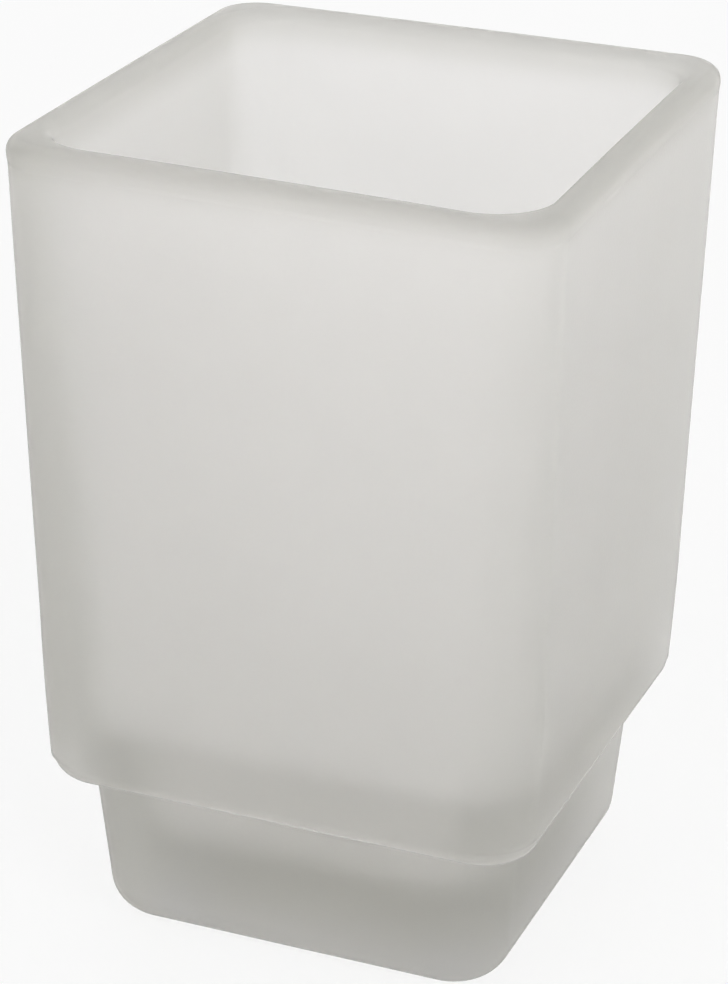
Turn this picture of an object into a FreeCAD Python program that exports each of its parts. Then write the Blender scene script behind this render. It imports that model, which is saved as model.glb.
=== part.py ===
import FreeCAD, Part
import Sketcher
import math
import os

# Square bathroom tumbler in frosted pressed glass, one piece as it leaves the mould.
# The body stands on a narrower stepped foot, and the cavity steps down into that foot.
# Millimetres, +Z up, origin at the centre of the base, X and Y square to the flat sides.

NODE = "tumbler_glass"
TOLERANCE = 1e-4

# Driving dimensions: name, size and what it measures.
SIZES = (
    ("overall_height", 100.0, "base to rim"),
    ("rim_width", 65.2, "outside, across the flats at the rim"),
    ("draft_width", 61.6, "outside, where the straight draft of the sides would meet the ledge"),
    ("side_bow", 0.47, "how far the sides curve in from that draft at the ledge"),
    ("bow_height", 23.6, "ledge to where the curve begins"),
    ("rim_corner_radius", 5.8, "upright outside corners at the rim"),
    ("shoulder_corner_radius", 6.6, "upright outside corners at the ledge"),
    ("ledge_height", 20.4, "base to the ledge under the body"),
    ("ledge_width", 3.43, "how far the body stands out over the foot"),
    ("ledge_flat", 0.43, "level ring of the ledge, which sits on a holder"),
    ("ledge_root_round", 0.3, "hollow corner between ledge and foot"),
    ("foot_lean", 1.5, "how far each side of the foot leans in from ledge to base"),
    ("foot_round", 5.0, "lower edge of the foot"),
    ("base_corner_radius", 1.9, "corners left on the base inside that round"),
    ("rim_wall", 4.2, "wall at the rim"),
    ("rim_flat", 0.35, "level top left between the two rounds of the rim"),
    ("shoulder_wall", 5.0, "wall just above the ledge"),
    ("shoulder_depth", 5.4, "glass above the ledge, up to the inner shoulder"),
    ("inner_shoulder_width", 4.43, "step from the cavity wall in to the well in the foot"),
    ("inner_shoulder_flat", 0.23, "level ring of that step between its two rounds"),
    ("inner_hollow_round", 2.6, "hollow corner at the foot of the cavity wall"),
    ("floor_depth", 10.8, "solid glass under the cavity"),
    ("floor_round", 4.5, "hollow corner around the floor"),
    ("floor_corner_radius", 1.0, "corners left on the floor inside that round"),
    ("cavity_corner_radius", 5.5, "upright corners of the upper cavity"),
    ("bearing_width", 4.2, "flat ring that the tumbler stands on"),
    ("recess_corner_radius", 5.5, "upright corners of the recess under the base"),
    ("push_up", 0.9, "height of that dished recess"),
    ("push_up_slope", 3.6, "width of the recess's sloping border"),
)

# Sizes that follow from the driving dimensions.
RIM_ROUND = "(sizes.rim_wall - sizes.rim_flat) / 2"
SHOULDER_WIDTH = "(sizes.draft_width - 2 * sizes.side_bow)"
SHOULDER_ROUND = "sizes.ledge_width - sizes.ledge_flat - sizes.ledge_root_round"
FOOT_TOP_WIDTH = f"({SHOULDER_WIDTH} - 2 * sizes.ledge_width)"
FOOT_BASE_WIDTH = f"({FOOT_TOP_WIDTH} - 2 * sizes.foot_lean)"
FOOT_CORNER_RADIUS = "sizes.foot_round + sizes.base_corner_radius"
CAVITY_TOP_WIDTH = "sizes.rim_width - 2 * sizes.rim_wall"
CAVITY_FOOT_WIDTH = f"({SHOULDER_WIDTH} - 2 * sizes.shoulder_wall)"
INNER_SHOULDER_HEIGHT = "(sizes.ledge_height + sizes.shoulder_depth)"
INNER_SHOULDER_ROUND = (
    "sizes.inner_shoulder_width - sizes.inner_shoulder_flat - sizes.inner_hollow_round"
)
WELL_TOP_WIDTH = f"({CAVITY_FOOT_WIDTH} - 2 * sizes.inner_shoulder_width)"
WELL_CORNER_RADIUS = "sizes.floor_round + sizes.floor_corner_radius"
WELL_DROP = f"({INNER_SHOULDER_HEIGHT} - sizes.floor_depth)"
WELL_FLOOR_WIDTH = f"{WELL_TOP_WIDTH} - 2 * sizes.foot_lean * {WELL_DROP} / sizes.ledge_height"
RECESS_WIDTH = f"({FOOT_BASE_WIDTH} - 2 * (sizes.foot_round + sizes.bearing_width))"
RECESS_TOP_WIDTH = f"{RECESS_WIDTH} - 2 * sizes.push_up_slope"

doc = FreeCAD.newDocument("bathroom_tumbler")

sheet = doc.addObject("Spreadsheet::Sheet", "sizes")
for row, (alias, value, note) in enumerate(SIZES, start=1):
    sheet.set(f"A{row}", note)
    sheet.set(f"B{row}", str(value))
    sheet.setAlias(f"B{row}", alias)
doc.recompute()

body = doc.addObject("PartDesign::Body", NODE)
body.Label = NODE
base_plane = next(plane for plane in body.Origin.OriginFeatures if plane.Role == "XY_Plane")


def value_of(expression):
    """The number that an expression on the sheet gives at the present sizes."""
    return float(sheet.evalExpression(expression))


def rounded_square(name, width, corner, height):
    """A square section with rounded corners, centred on the axis at a height above the base."""
    sketch = body.newObject("Sketcher::SketchObject", name)
    sketch.AttachmentSupport = [(base_plane, "")]
    sketch.MapMode = "FlatFace"
    sketch.setExpression(".AttachmentOffset.Base.z", height)

    half = value_of(width) / 2
    radius = value_of(corner)
    reach = half - radius
    up = FreeCAD.Vector(0, 0, 1)
    quarter = math.pi / 2
    corners = ((reach, reach), (-reach, reach), (-reach, -reach), (reach, -reach))
    arcs = []
    for turn, (x, y) in enumerate(corners):
        circle = Part.Circle(FreeCAD.Vector(x, y, 0), up, radius)
        arcs.append(sketch.addGeometry(Part.ArcOfCircle(circle, turn * quarter, (turn + 1) * quarter)))
    sides = []
    for turn in range(4):
        start = sketch.Geometry[arcs[turn]].EndPoint
        end = sketch.Geometry[arcs[(turn + 1) % 4]].StartPoint
        sides.append(sketch.addGeometry(Part.LineSegment(start, end)))

    start_point, end_point, centre_point = 1, 2, 3
    origin = (-1, 1)
    for turn in range(4):
        sketch.addConstraint(
            Sketcher.Constraint("Tangent", arcs[turn], end_point, sides[turn], start_point))
        sketch.addConstraint(
            Sketcher.Constraint("Tangent", sides[turn], end_point, arcs[(turn + 1) % 4], start_point))
    for turn, direction in enumerate(("Horizontal", "Vertical", "Horizontal", "Vertical")):
        sketch.addConstraint(Sketcher.Constraint(direction, sides[turn]))
    for arc in arcs[1:]:
        sketch.addConstraint(Sketcher.Constraint("Equal", arcs[0], arc))
    sketch.addConstraint(Sketcher.Constraint("Equal", sides[0], sides[1]))
    sketch.addConstraint(
        Sketcher.Constraint("Symmetric", arcs[0], centre_point, arcs[2], centre_point, *origin))
    across = sketch.addConstraint(
        Sketcher.Constraint("DistanceX", sides[1], start_point, sides[3], start_point, 2 * half))
    sketch.renameConstraint(across, "width")
    round_off = sketch.addConstraint(Sketcher.Constraint("Radius", arcs[0], radius))
    sketch.renameConstraint(round_off, "corner")
    sketch.setExpression("Constraints.width", width)
    sketch.setExpression("Constraints.corner", corner)
    return sketch


def loft(kind, name, sections, ruled=True):
    """A loft of the given kind through the sections, in order."""
    feature = body.newObject(kind, name)
    feature.Profile = sections[0]
    feature.Sections = [(section, [""]) for section in sections[1:]]
    feature.Ruled = ruled
    doc.recompute()
    return feature


def edge_loop(feature, height, width):
    """Names of the edges of the square loop of a given width at a given height."""
    level = value_of(height)
    half = value_of(width) / 2
    names = []
    for number, edge in enumerate(feature.Shape.Edges, start=1):
        points = [vertex.Point for vertex in edge.Vertexes]
        on_level = all(abs(point.z - level) < TOLERANCE for point in points)
        on_loop = all(abs(max(abs(point.x), abs(point.y)) - half) < TOLERANCE for point in points)
        if on_level and on_loop:
            names.append(f"Edge{number}")
    return names


def round_loop(name, base, height, width, radius):
    """A fillet round one square loop of edges of the feature below it."""
    fillet = body.newObject("PartDesign::Fillet", name)
    fillet.Base = (base, edge_loop(base, height, width))
    fillet.setExpression("Radius", radius)
    doc.recompute()
    return fillet


# Body: the lower sides curve in softly from the mould's draft, and their lower edge is rounded.
bow_sections = []
for bow_share in (0, 0.5, 1):
    above_ledge = f"{bow_share} * sizes.bow_height"
    draft_share = f"{above_ledge} / (sizes.overall_height - sizes.ledge_height)"
    width = (f"sizes.draft_width + (sizes.rim_width - sizes.draft_width) * {draft_share}"
             f" - 2 * sizes.side_bow * {(1 - bow_share) ** 2}")
    corner = ("sizes.shoulder_corner_radius"
              f" + (sizes.rim_corner_radius - sizes.shoulder_corner_radius) * {draft_share}")
    name = f"bow_section_{len(bow_sections)}"
    bow_sections.append(rounded_square(name, width, corner, f"sizes.ledge_height + {above_ledge}"))
lower_body = loft("PartDesign::AdditiveLoft", "lower_body", bow_sections, ruled=False)

# The sides go on straight up to the rim, at the draft that the curve ends on.
rim_section = rounded_square("rim_section", "sizes.rim_width", "sizes.rim_corner_radius",
                             "sizes.overall_height")
upper_body = loft("PartDesign::AdditiveLoft", "upper_body", [bow_sections[-1], rim_section])
shoulder = round_loop("shoulder_edge", upper_body, "sizes.ledge_height", SHOULDER_WIDTH, SHOULDER_ROUND)

# Foot: the narrower block that drops into a holder's ring while the ledge sits on it.
foot_sections = [
    rounded_square("foot_base_section", FOOT_BASE_WIDTH, FOOT_CORNER_RADIUS, "0"),
    rounded_square("foot_top_section", FOOT_TOP_WIDTH, FOOT_CORNER_RADIUS, "sizes.ledge_height"),
]
foot = loft("PartDesign::AdditiveLoft", "foot", foot_sections)
foot_root = round_loop("foot_root", foot, "sizes.ledge_height", FOOT_TOP_WIDTH, "sizes.ledge_root_round")
foot_edge = round_loop("foot_edge", foot_root, "0", FOOT_BASE_WIDTH, "sizes.foot_round")

# Cavity: the plunger's upper block, with more draft than the outside so that the wall thickens.
cavity_sections = [
    rounded_square("cavity_foot_section", CAVITY_FOOT_WIDTH, "sizes.cavity_corner_radius",
                   INNER_SHOULDER_HEIGHT),
    rounded_square("cavity_rim_section", CAVITY_TOP_WIDTH, "sizes.cavity_corner_radius",
                   "sizes.overall_height"),
]
cavity = loft("PartDesign::SubtractiveLoft", "cavity", cavity_sections)

# Well: the plunger's nose, which leaves a thick floor and walls parallel to the foot's own.
well_sections = [
    rounded_square("well_floor_section", WELL_FLOOR_WIDTH, WELL_CORNER_RADIUS, "sizes.floor_depth"),
    rounded_square("well_top_section", WELL_TOP_WIDTH, WELL_CORNER_RADIUS, INNER_SHOULDER_HEIGHT),
]
well = loft("PartDesign::SubtractiveLoft", "well", well_sections)
floor_edge = round_loop("floor_edge", well, "sizes.floor_depth", WELL_FLOOR_WIDTH, "sizes.floor_round")
hollow = round_loop("inner_hollow", floor_edge, INNER_SHOULDER_HEIGHT, CAVITY_FOOT_WIDTH,
                    "sizes.inner_hollow_round")
inner_shoulder = round_loop("inner_shoulder", hollow, INNER_SHOULDER_HEIGHT, WELL_TOP_WIDTH,
                            INNER_SHOULDER_ROUND)

# Rim: both edges rolled over by the flame.
rim_outside = round_loop("rim_outside", inner_shoulder, "sizes.overall_height", "sizes.rim_width",
                         RIM_ROUND)
rim_inside = round_loop("rim_inside", rim_outside, "sizes.overall_height", CAVITY_TOP_WIDTH, RIM_ROUND)

# Base: a dished recess, so that the tumbler stands on a ring and not on its middle.
recess_sections = [
    rounded_square("recess_section", RECESS_WIDTH, "sizes.recess_corner_radius", "0"),
    rounded_square("recess_top_section", RECESS_TOP_WIDTH, "sizes.recess_corner_radius", "sizes.push_up"),
]
recess = loft("PartDesign::SubtractiveLoft", "recess", recess_sections)
body.Tip = recess
doc.recompute()

# Nothing is written unless every feature is sound and each cut took glass away.
for item in doc.Objects:
    faults = [state for state in item.State if state in ("Invalid", "Error")]
    if faults:
        raise RuntimeError(f"{item.Name} is {faults}")
for before, cut in ((foot_edge, cavity), (cavity, well), (rim_inside, recess)):
    if cut.Shape.Volume >= before.Shape.Volume:
        raise RuntimeError(f"{cut.Name} removes nothing")
glass = body.Shape
if glass.isNull() or not glass.isValid() or len(glass.Solids) != 1:
    raise RuntimeError("the glass is not one sound solid")

os.makedirs("parts", exist_ok=True)
glass.exportStep(f"parts/{NODE}.step")
print(f"{NODE}: {glass.Volume / 1000:.1f} ml of glass, {len(glass.Faces)} faces")
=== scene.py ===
import math

import bpy
from mathutils import Matrix, Vector


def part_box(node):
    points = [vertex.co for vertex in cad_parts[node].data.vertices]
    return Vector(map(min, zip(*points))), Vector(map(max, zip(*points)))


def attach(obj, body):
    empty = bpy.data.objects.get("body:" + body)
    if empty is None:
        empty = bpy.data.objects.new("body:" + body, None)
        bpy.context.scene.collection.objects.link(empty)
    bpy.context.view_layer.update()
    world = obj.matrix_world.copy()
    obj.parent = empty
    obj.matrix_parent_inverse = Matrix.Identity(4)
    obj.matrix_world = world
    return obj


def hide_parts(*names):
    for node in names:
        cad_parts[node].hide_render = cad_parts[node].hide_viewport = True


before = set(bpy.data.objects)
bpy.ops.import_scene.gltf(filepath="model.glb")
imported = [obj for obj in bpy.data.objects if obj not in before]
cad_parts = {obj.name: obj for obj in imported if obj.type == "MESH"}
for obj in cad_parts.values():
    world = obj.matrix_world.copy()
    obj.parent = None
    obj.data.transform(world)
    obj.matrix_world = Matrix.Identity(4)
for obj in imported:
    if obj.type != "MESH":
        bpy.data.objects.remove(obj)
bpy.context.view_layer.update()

# Tumbler glass. One gob of soda-lime glass, pressed between a square mould and a stepped plunger,
# fire-polished at the rim and then frosted all over in an acid bath. Nothing is fixed to it: the
# foot, body and rim are one wall that only changes in thickness.

MM = 0.001

# The crests of the waves in the glass stay inside the height of the solid
wave_height = 0.08 * MM
glass_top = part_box("tumbler_glass")[1]
overall_height = glass_top.z - wave_height / 4
rim_half = 32.57 * MM
draft_half = 30.8 * MM
rim_corner = 5.8 * MM
shoulder_corner = 6.6 * MM
side_bow = 0.47 * MM
bow_height = 23.6 * MM
bow_radius = 450 * MM
ledge_height = 20.4 * MM
ledge_width = 3.43 * MM
ledge_root_round = 0.3 * MM
shoulder_round = 2.7 * MM
foot_lean = 1.5 * MM
foot_corner = 6.9 * MM
foot_round = 5.0 * MM
rim_wall = 3.6 * MM
rim_round = 1.65 * MM
cavity_corner = 7.0 * MM
shoulder_wall = 5.0 * MM
shoulder_depth = 5.4 * MM
inner_shoulder_width = 4.43 * MM
inner_hollow_round = 2.6 * MM
inner_shoulder_round = 1.6 * MM
well_corner = 5.5 * MM
floor_depth = 10.8 * MM
floor_round = 4.5 * MM
bearing_width = 4.2 * MM
recess_corner = 5.5 * MM
push_up = 0.9 * MM
push_up_slope = 3.6 * MM
recess_edge_round = 6 * MM

# The ring that closes the mould leaves a faint line a little below the rim, a tiny soft step.
ring_line_drop = 2.6 * MM
ring_line_width = 0.5 * MM
ring_line_depth = 0.06 * MM
ring_line_round = 0.5 * MM


def draft_at(height):
    """Half width and corner radius of the straight drafted side at a height."""
    share = (height - ledge_height) / (overall_height - ledge_height)
    half = draft_half + (rim_half - draft_half) * share
    corner = shoulder_corner + (rim_corner - shoulder_corner) * share
    return half, corner


shoulder_half = draft_half - side_bow
foot_top_half = shoulder_half - ledge_width
foot_base_half = foot_top_half - foot_lean
recess_half = foot_base_half - foot_round - bearing_width
cavity_foot_half = shoulder_half - shoulder_wall
inner_shoulder_height = ledge_height + shoulder_depth
well_top_half = cavity_foot_half - inner_shoulder_width
well_floor_half = well_top_half - foot_lean * (inner_shoulder_height - floor_depth) / ledge_height
bow_knee_height = ledge_height + bow_height / 2
bow_knee_half, bow_knee_corner = draft_at(bow_knee_height)
ring_height = overall_height - ring_line_drop
ring_low_half, ring_low_corner = draft_at(ring_height - ring_line_width / 2)
ring_high_half, ring_high_corner = draft_at(ring_height + ring_line_width / 2)

# The outline from the middle of the base, up the outside, over the rim and down to the floor:
# half width, height, corner radius of the square section there, and the round on that bend.
outline = (
    (0, push_up, 0, 0),
    (recess_half - push_up_slope, push_up, recess_corner, recess_edge_round),
    (recess_half, 0, recess_corner, recess_edge_round),
    (foot_base_half, 0, foot_corner, foot_round),
    (foot_top_half, ledge_height, foot_corner, ledge_root_round),
    (shoulder_half, ledge_height, shoulder_corner, shoulder_round),
    (bow_knee_half, bow_knee_height, bow_knee_corner, bow_radius),
    (ring_low_half - ring_line_depth, ring_height - ring_line_width / 2, ring_low_corner,
     ring_line_round),
    (ring_high_half, ring_height + ring_line_width / 2, ring_high_corner, ring_line_round),
    (rim_half, overall_height, rim_corner, rim_round),
    (rim_half - rim_wall, overall_height, cavity_corner, rim_round),
    (cavity_foot_half, inner_shoulder_height, cavity_corner, inner_hollow_round),
    (well_top_half, inner_shoulder_height, well_corner, inner_shoulder_round),
    (well_floor_half, floor_depth, well_corner, floor_round),
    (0, floor_depth, 0, 0),
)


def add_node(tree, kind, inputs=None, **settings):
    """Add a node, set its properties, and give its inputs a value, or a link from a node or a socket."""
    node = tree.nodes.new(kind)
    for name, value in settings.items():
        setattr(node, name, value)
    for socket, value in (inputs or {}).items():
        if isinstance(value, bpy.types.Node):
            value = value.outputs[0]
        if isinstance(value, bpy.types.NodeSocket):
            tree.links.new(value, node.inputs[socket])
        else:
            node.inputs[socket].default_value = value
    return node


def pressed_form_tree():
    """Nodes that carry a square section with rounded corners along the outline.

    Each point of the outline holds its reach, the half length of the section's flat sides. A bend
    is an arc at one reach, so the corners keep their centres all the way round it.
    """
    tree = bpy.data.node_groups.new("pressed_form", "GeometryNodeTree")
    ports = tree.interface
    ports.new_socket("Outline", in_out="INPUT", socket_type="NodeSocketGeometry")
    ports.new_socket("Bend Steps", in_out="INPUT", socket_type="NodeSocketInt")
    ports.new_socket("Corner Steps", in_out="INPUT", socket_type="NodeSocketInt")
    ports.new_socket("Side Steps", in_out="INPUT", socket_type="NodeSocketInt")
    ports.new_socket("Straight Step", in_out="INPUT", socket_type="NodeSocketFloat")
    ports.new_socket("Wave Height", in_out="INPUT", socket_type="NodeSocketFloat")
    ports.new_socket("Wave Length", in_out="INPUT", socket_type="NodeSocketFloat")
    ports.new_socket("Still Height", in_out="INPUT", socket_type="NodeSocketFloat")
    ports.new_socket("Rim Height", in_out="INPUT", socket_type="NodeSocketFloat")
    ports.new_socket("Rim Half", in_out="INPUT", socket_type="NodeSocketFloat")
    ports.new_socket("Rim Sag", in_out="INPUT", socket_type="NodeSocketFloat")
    ports.new_socket("Glass", in_out="INPUT", socket_type="NodeSocketMaterial")
    ports.new_socket("Form", in_out="OUTPUT", socket_type="NodeSocketGeometry")
    given = add_node(tree, "NodeGroupInput").outputs

    # Outline with its bends rounded, and its straight runs cut into short steps
    line = add_node(tree, "GeometryNodeMeshToCurve", {"Mesh": given["Outline"]})
    bend = add_node(tree, "GeometryNodeInputNamedAttribute", {"Name": "bend"}, data_type="FLOAT")
    rounded = add_node(tree, "GeometryNodeFilletCurve", {
        "Curve": line, "Count": given["Bend Steps"], "Radius": bend, "Limit Radius": True}, mode="POLY")
    here = add_node(tree, "GeometryNodeInputPosition")
    index = add_node(tree, "GeometryNodeInputIndex")
    next_index = add_node(tree, "FunctionNodeIntegerMath", {0: index, 1: 1}, operation="ADD")
    next_point = add_node(tree, "GeometryNodeFieldAtIndex", {
        "Value": here, "Index": next_index}, data_type="FLOAT_VECTOR", domain="POINT")
    run = add_node(tree, "ShaderNodeVectorMath", {0: here, 1: next_point}, operation="DISTANCE")
    cuts = add_node(tree, "ShaderNodeMath", {
        0: run.outputs["Value"], 1: given["Straight Step"]}, operation="DIVIDE")
    path = add_node(tree, "GeometryNodeSubdivideCurve", {"Curve": rounded, "Cuts": cuts})
    stations = add_node(tree, "GeometryNodeAttributeDomainSize", {"Geometry": path}, component="CURVE")
    stations = stations.outputs["Point Count"]

    # A sheet with one column for each station and one row for each step round the section
    quarter_steps = add_node(tree, "FunctionNodeIntegerMath", {
        0: given["Corner Steps"], 1: given["Side Steps"]}, operation="ADD")
    around = add_node(tree, "FunctionNodeIntegerMath", {
        0: quarter_steps, 1: 4, 2: 1}, operation="MULTIPLY_ADD")
    sheet = add_node(tree, "GeometryNodeMeshGrid", {"Vertices X": around, "Vertices Y": stations})
    station = add_node(tree, "FunctionNodeIntegerMath", {0: index, 1: stations}, operation="MODULO")
    step = add_node(tree, "FunctionNodeIntegerMath", {0: index, 1: stations}, operation="DIVIDE")
    quarter = add_node(tree, "FunctionNodeIntegerMath", {0: step, 1: quarter_steps}, operation="DIVIDE")
    part_step = add_node(tree, "FunctionNodeIntegerMath", {0: step, 1: quarter_steps}, operation="MODULO")

    # The reach, corner radius and height of the section at this station
    reach_field = add_node(tree, "GeometryNodeInputNamedAttribute", {"Name": "reach"}, data_type="FLOAT")
    reach = add_node(tree, "GeometryNodeSampleIndex", {
        "Geometry": path, "Value": reach_field, "Index": station}, data_type="FLOAT", domain="POINT")
    place = add_node(tree, "GeometryNodeSampleIndex", {
        "Geometry": path, "Value": here, "Index": station}, data_type="FLOAT_VECTOR", domain="POINT")
    place = add_node(tree, "ShaderNodeSeparateXYZ", {0: place}).outputs
    corner = add_node(tree, "ShaderNodeMath", {0: place["X"], 1: reach}, operation="SUBTRACT")

    # Each quarter is a corner arc and then the flat side up to the next corner
    turn = add_node(tree, "ShaderNodeMapRange", {
        "Value": part_step, "From Max": given["Corner Steps"], "To Max": math.pi / 2})
    along = add_node(tree, "ShaderNodeMapRange", {
        "Value": part_step, "From Min": given["Corner Steps"], "From Max": quarter_steps,
        "To Min": 1.0, "To Max": -1.0})
    arm = add_node(tree, "ShaderNodeCombineXYZ", {"X": corner, "Z": place["Z"]})
    arc = add_node(tree, "ShaderNodeVectorRotate", {
        "Vector": arm, "Angle": turn}, rotation_type="Z_AXIS")
    flat = add_node(tree, "ShaderNodeCombineXYZ", {"X": along, "Y": 1.0})
    point = add_node(tree, "ShaderNodeVectorMath", {0: flat, 1: reach, 2: arc}, operation="MULTIPLY_ADD")
    quarter_turn = add_node(tree, "ShaderNodeMath", {0: quarter, 1: math.pi / 2}, operation="MULTIPLY")
    turned = add_node(tree, "ShaderNodeVectorRotate", {
        "Vector": point, "Angle": quarter_turn}, rotation_type="Z_AXIS")
    wrapped = add_node(tree, "GeometryNodeSetPosition", {"Geometry": sheet, "Position": turned})
    closed = add_node(tree, "GeometryNodeMergeByDistance", {
        "Geometry": wrapped, "Distance": 0.002 * MM})

    # Chilled pressed glass is never quite flat: long shallow waves, none where it stands
    split = add_node(tree, "ShaderNodeSeparateXYZ", {0: here}).outputs
    wave_scale = add_node(tree, "ShaderNodeMath", {0: 1.0, 1: given["Wave Length"]}, operation="DIVIDE")
    wave = add_node(tree, "ShaderNodeTexNoise", {"Vector": here, "Scale": wave_scale, "Detail": 1.0})
    wave = add_node(tree, "ShaderNodeMath", {0: wave, 1: 0.5}, operation="SUBTRACT")
    rise = add_node(tree, "ShaderNodeMapRange", {
        "Value": split["Z"], "From Max": given["Still Height"], "To Max": given["Wave Height"]})
    swell = add_node(tree, "ShaderNodeMath", {0: wave, 1: rise}, operation="MULTIPLY")
    outward = add_node(tree, "GeometryNodeInputNormal")
    offset = add_node(tree, "ShaderNodeVectorMath", {0: outward, "Scale": swell}, operation="SCALE")
    waved = add_node(tree, "GeometryNodeSetPosition", {"Geometry": closed, "Offset": offset})

    # The flame takes the rim down unevenly: it sinks towards the corner between +X and -Y, where
    # the share is 1, and its cube keeps the other corners up
    lean = add_node(tree, "ShaderNodeMath", {0: split["X"], 1: split["Y"]}, operation="SUBTRACT")
    span = add_node(tree, "ShaderNodeMath", {0: given["Rim Half"], 1: 2.0}, operation="MULTIPLY")
    low_side = add_node(tree, "ShaderNodeMath", {0: span, 1: -1.0}, operation="MULTIPLY")
    near = add_node(tree, "ShaderNodeMapRange", {"Value": lean, "From Min": low_side, "From Max": span})
    near = add_node(tree, "ShaderNodeMath", {0: near, 1: 3.0}, operation="POWER")
    start = add_node(tree, "ShaderNodeMath", {0: given["Rim Height"], 1: 0.5}, operation="MULTIPLY")
    high = add_node(tree, "ShaderNodeMapRange", {
        "Value": split["Z"], "From Min": start, "From Max": given["Rim Height"],
        "To Max": given["Rim Sag"]}, interpolation_type="SMOOTHSTEP")
    sink = add_node(tree, "ShaderNodeMath", {0: near, 1: high}, operation="MULTIPLY")
    drop = add_node(tree, "ShaderNodeVectorMath", {
        0: (0.0, 0.0, -1.0), "Scale": sink}, operation="SCALE")
    sagged = add_node(tree, "GeometryNodeSetPosition", {"Geometry": waved, "Offset": drop})
    smooth = add_node(tree, "GeometryNodeSetShadeSmooth", {"Geometry": sagged})
    real = add_node(tree, "GeometryNodeRealizeInstances", {"Geometry": smooth})
    coated = add_node(tree, "GeometryNodeSetMaterial", {"Geometry": real, "Material": given["Glass"]})
    add_node(tree, "NodeGroupOutput", {"Form": coated})
    return tree


def linear(hex_colour):
    """An sRGB hex colour as linear red, green, blue and alpha."""
    channels = [int(hex_colour[i:i + 2], 16) / 255 for i in (1, 3, 5)]
    return [c / 12.92 if c <= 0.04045 else ((c + 0.055) / 1.055) ** 2.4 for c in channels] + [1.0]


def etched_glass():
    """Soda-lime glass frosted by acid.

    The bath leaves a fine matt grain that scatters light both ways, so nothing shows sharply
    through it, thin walls glow and thick glass darkens to a green-grey. The rim carries painted
    shade: its base colour is a little greyer than the sides, standing in for the shade where the
    wall is seen end on.
    """
    # The real grain is too fine to show, so it is drawn several times as coarse
    grain_size = 0.35 * MM
    grain_depth = 0.05 * MM
    cloud_size = 9 * MM
    least_matt = 0.72
    most_matt = 0.78
    # Painted shade on the rim: the base colour starts to grey this far below the rim and is fully grey
    # this far below it
    painted_rim_shade_depth = 6 * MM
    painted_rim_shade_full = 1.5 * MM
    glass = bpy.data.materials.new("etched_soda_lime_glass")
    glass.use_nodes = True
    tree = glass.node_tree
    tree.nodes.clear()
    place = add_node(tree, "ShaderNodeTexCoord").outputs["Object"]
    clouds = add_node(tree, "ShaderNodeTexNoise", {
        "Vector": place, "Scale": 1 / cloud_size, "Detail": 3.0, "Roughness": 0.55})
    matt = add_node(tree, "ShaderNodeMapRange", {
        "Value": clouds, "From Min": 0.3, "From Max": 0.7, "To Min": least_matt, "To Max": most_matt})
    height = add_node(tree, "ShaderNodeSeparateXYZ", {0: place}).outputs["Z"]
    # Painted shade: the base colour mixes from the glass's own white to a grey towards the rim
    painted_rim_shade_share = add_node(tree, "ShaderNodeMapRange", {
        "Value": height, "From Min": overall_height - painted_rim_shade_depth,
        "From Max": overall_height - painted_rim_shade_full}, interpolation_type="SMOOTHSTEP")
    colour = add_node(tree, "ShaderNodeMix", {
        0: painted_rim_shade_share, 6: linear("#fbfafa"), 7: linear("#eae9e7")}, data_type="RGBA").outputs[2]
    grain = add_node(tree, "ShaderNodeTexNoise", {
        "Vector": place, "Scale": 1 / grain_size, "Detail": 2.0, "Roughness": 0.6})
    etch = add_node(tree, "ShaderNodeBump", {
        "Height": grain, "Strength": 0.25, "Distance": grain_depth})
    surface = add_node(tree, "ShaderNodeBsdfPrincipled", {
        "Base Color": colour, "Roughness": matt, "IOR": 1.52, "Transmission Weight": 0.9,
        "Normal": etch})
    depth = add_node(tree, "ShaderNodeVolumeAbsorption", {"Color": linear("#dadad4"), "Density": 62.0})
    add_node(tree, "ShaderNodeOutputMaterial", {"Surface": surface, "Volume": depth})
    return glass


outline_mesh = bpy.data.meshes.new("tumbler_outline")
outline_mesh.from_pydata(
    [(half, 0, height) for half, height, corner, bend in outline],
    [(i, i + 1) for i in range(len(outline) - 1)], [])
reach_layer = outline_mesh.attributes.new("reach", "FLOAT", "POINT")
reach_layer.data.foreach_set("value", [half - corner for half, height, corner, bend in outline])
bend_layer = outline_mesh.attributes.new("bend", "FLOAT", "POINT")
bend_layer.data.foreach_set("value", [bend for half, height, corner, bend in outline])
pattern = bpy.data.objects.new("tumbler_pattern", outline_mesh)
bpy.context.scene.collection.objects.link(pattern)

form = pattern.modifiers.new("pressed_form", "NODES")
form.node_group = pressed_form_tree()
form_inputs = {
    "Bend Steps": 20,
    "Corner Steps": 16,
    "Side Steps": 24,
    "Straight Step": 2.0 * MM,
    "Wave Height": wave_height,
    "Wave Length": 22 * MM,
    "Still Height": 6 * MM,
    "Rim Height": overall_height,
    "Rim Half": rim_half,
    "Rim Sag": 1.5 * MM,
    "Glass": etched_glass(),
}
for port in form.node_group.interface.items_tree:
    if port.name in form_inputs:
        form[port.identifier] = form_inputs[port.name]
evaluated = pattern.evaluated_get(bpy.context.evaluated_depsgraph_get())
tumbler = bpy.data.objects.new("frosted_tumbler", bpy.data.meshes.new_from_object(evaluated))
bpy.context.scene.collection.objects.link(tumbler)
bpy.data.objects.remove(pattern)

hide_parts("tumbler_glass")
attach(tumbler, "root")

# Studio. A pale matt table under the tumbler, white walls all round below a dimmer ceiling, and weak
# soft boxes low at the front and behind. Most of the light comes in through the sides of the glass.

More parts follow.
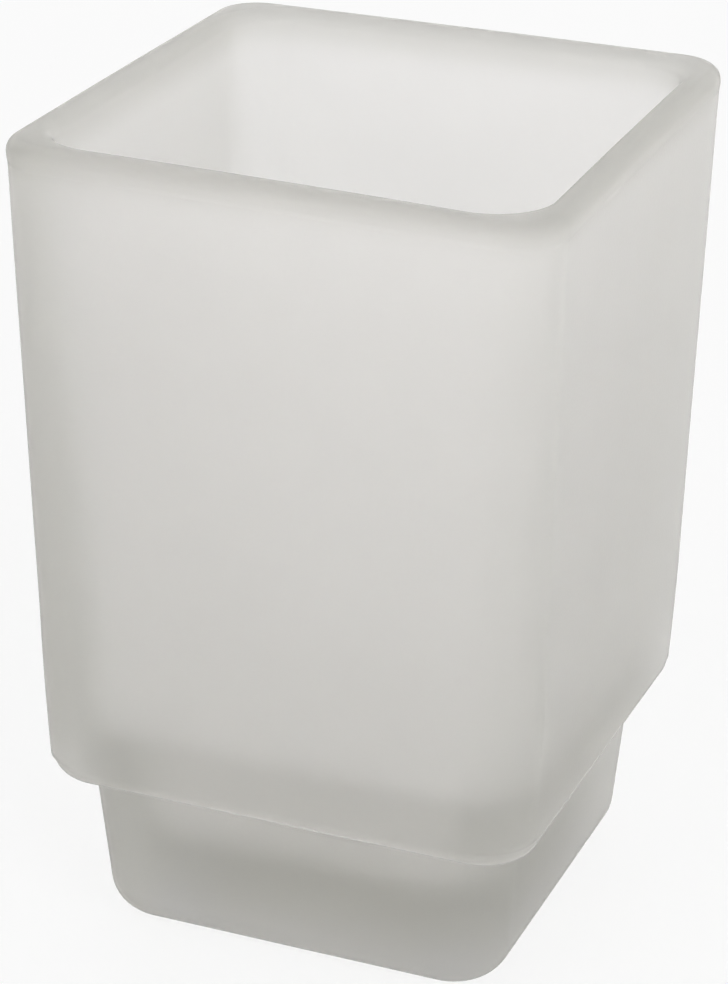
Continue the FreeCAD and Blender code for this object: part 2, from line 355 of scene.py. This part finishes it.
# The table shows part of a clean white to the camera, and less of it through the glass. The rest is
# its own lacquer, which keeps the tumbler's shadow.
table_half = 4.0
table_white_to_camera = 0.8
table_white_in_glass = 0.2
table_mesh = bpy.data.meshes.new("studio_table")
table_mesh.from_pydata(
    [(-table_half, -table_half, 0), (table_half, -table_half, 0),
     (table_half, table_half, 0), (-table_half, table_half, 0)], [], [(0, 1, 2, 3)])
table = bpy.data.objects.new("studio_table", table_mesh)
bpy.context.scene.collection.objects.link(table)
paint = bpy.data.materials.new("white_table_lacquer")
paint.use_nodes = True
paint.node_tree.nodes.clear()
ray = add_node(paint.node_tree, "ShaderNodeLightPath").outputs
through_glass = add_node(paint.node_tree, "ShaderNodeMath", {
    0: ray["Is Glossy Ray"], 1: ray["Is Transmission Ray"]}, operation="MAXIMUM")
glass_share = add_node(paint.node_tree, "ShaderNodeMath", {
    0: through_glass, 1: table_white_in_glass}, operation="MULTIPLY")
white_share = add_node(paint.node_tree, "ShaderNodeMath", {
    0: ray["Is Camera Ray"], 1: table_white_to_camera, 2: glass_share}, operation="MULTIPLY_ADD")
lacquer = add_node(paint.node_tree, "ShaderNodeBsdfPrincipled", {
    "Base Color": linear("#fafafa"), "Roughness": 0.9, "Specular IOR Level": 0.1})
clean_white = add_node(paint.node_tree, "ShaderNodeEmission", {
    "Color": (1.0, 1.0, 1.0, 1.0), "Strength": 1.0})
finish = add_node(paint.node_tree, "ShaderNodeMixShader", {0: white_share, 1: lacquer, 2: clean_white})
add_node(paint.node_tree, "ShaderNodeOutputMaterial", {"Surface": finish})
table_mesh.materials.append(paint)

# The walls end and the ceiling starts at these heights in the sky, as sines of the elevation.
surround_strength = 0.95
ceiling_strength = 0.48
walls_end = math.sin(math.radians(17))
ceiling_start = math.sin(math.radians(64))
world = bpy.data.worlds.new("white_surround")
bpy.context.scene.world = world
world.use_nodes = True
sky = world.node_tree
sky.nodes.clear()
ray = add_node(sky, "ShaderNodeLightPath").outputs
seen = add_node(sky, "ShaderNodeMath", {
    0: ray["Is Camera Ray"], 1: ray["Is Glossy Ray"]}, operation="MAXIMUM")
seen = add_node(sky, "ShaderNodeMath", {0: seen, 1: ray["Is Transmission Ray"]}, operation="MAXIMUM")
walls = add_node(sky, "ShaderNodeMapRange", {"Value": seen, "To Min": surround_strength, "To Max": 1.0})
direction = add_node(sky, "ShaderNodeTexCoord").outputs["Generated"]
upward = add_node(sky, "ShaderNodeSeparateXYZ", {0: direction}).outputs["Z"]
ceiling = add_node(sky, "ShaderNodeMapRange", {
    "Value": upward, "From Min": walls_end, "From Max": ceiling_start, "To Min": 1.0,
    "To Max": ceiling_strength})
strength = add_node(sky, "ShaderNodeMath", {0: walls, 1: ceiling}, operation="MULTIPLY")
white = add_node(sky, "ShaderNodeBackground", {"Color": (1.0, 1.0, 1.0, 1.0), "Strength": strength})
add_node(sky, "ShaderNodeOutputWorld", {"Surface": white})


def soft_lamp(name, place, aim, side, power):
    """A square soft box that faces a point."""
    lamp = bpy.data.lights.new(name, "AREA")
    lamp.shape = "SQUARE"
    lamp.size = side
    lamp.energy = power
    holder = bpy.data.objects.new(name, lamp)
    holder.location = place
    holder.rotation_euler = (Vector(aim) - Vector(place)).to_track_quat("-Z", "Y").to_euler()
    bpy.context.scene.collection.objects.link(holder)


middle = (0, 0, overall_height / 2)
soft_lamp("left_box", place=(-0.5, -0.9, 0.3), aim=middle, side=0.6, power=2.0)
soft_lamp("right_box", place=(0.9, -0.5, 0.3), aim=middle, side=0.6, power=5.0)
soft_lamp("back_box", place=(-0.3, 1.0, 0.5), aim=middle, side=0.8, power=1.8)

# Camera, from a fit of the outline to the photograph: long lens, above and to the right of the front.

frame_long_side = 984
focal_pixels = 3286.9
azimuth = math.radians(22.034)
elevation = math.radians(23.899)
roll = math.radians(0.603)
distance = 399.99 * MM
aim = Vector((-3.147, 5.297, 48.158)) * MM

back = Vector((math.sin(azimuth) * math.cos(elevation), -math.cos(azimuth) * math.cos(elevation),
               math.sin(elevation)))
level_right = back.cross(Vector((0, 0, -1))).normalized()
level_up = back.cross(level_right)
right = level_right * math.cos(roll) + level_up * math.sin(roll)
up = level_up * math.cos(roll) - level_right * math.sin(roll)
lens = bpy.data.cameras.new("photo_camera")
lens.sensor_width = 36
lens.lens = lens.sensor_width * focal_pixels / frame_long_side
lens.clip_start = 0.01
camera = bpy.data.objects.new("photo_camera", lens)
facing = Matrix((right, up, back)).transposed().to_4x4()
camera.matrix_world = Matrix.Translation(aim + back * distance) @ facing
bpy.context.scene.collection.objects.link(camera)
bpy.context.scene.camera = camera
bpy.context.scene.view_settings.view_transform = "Standard"
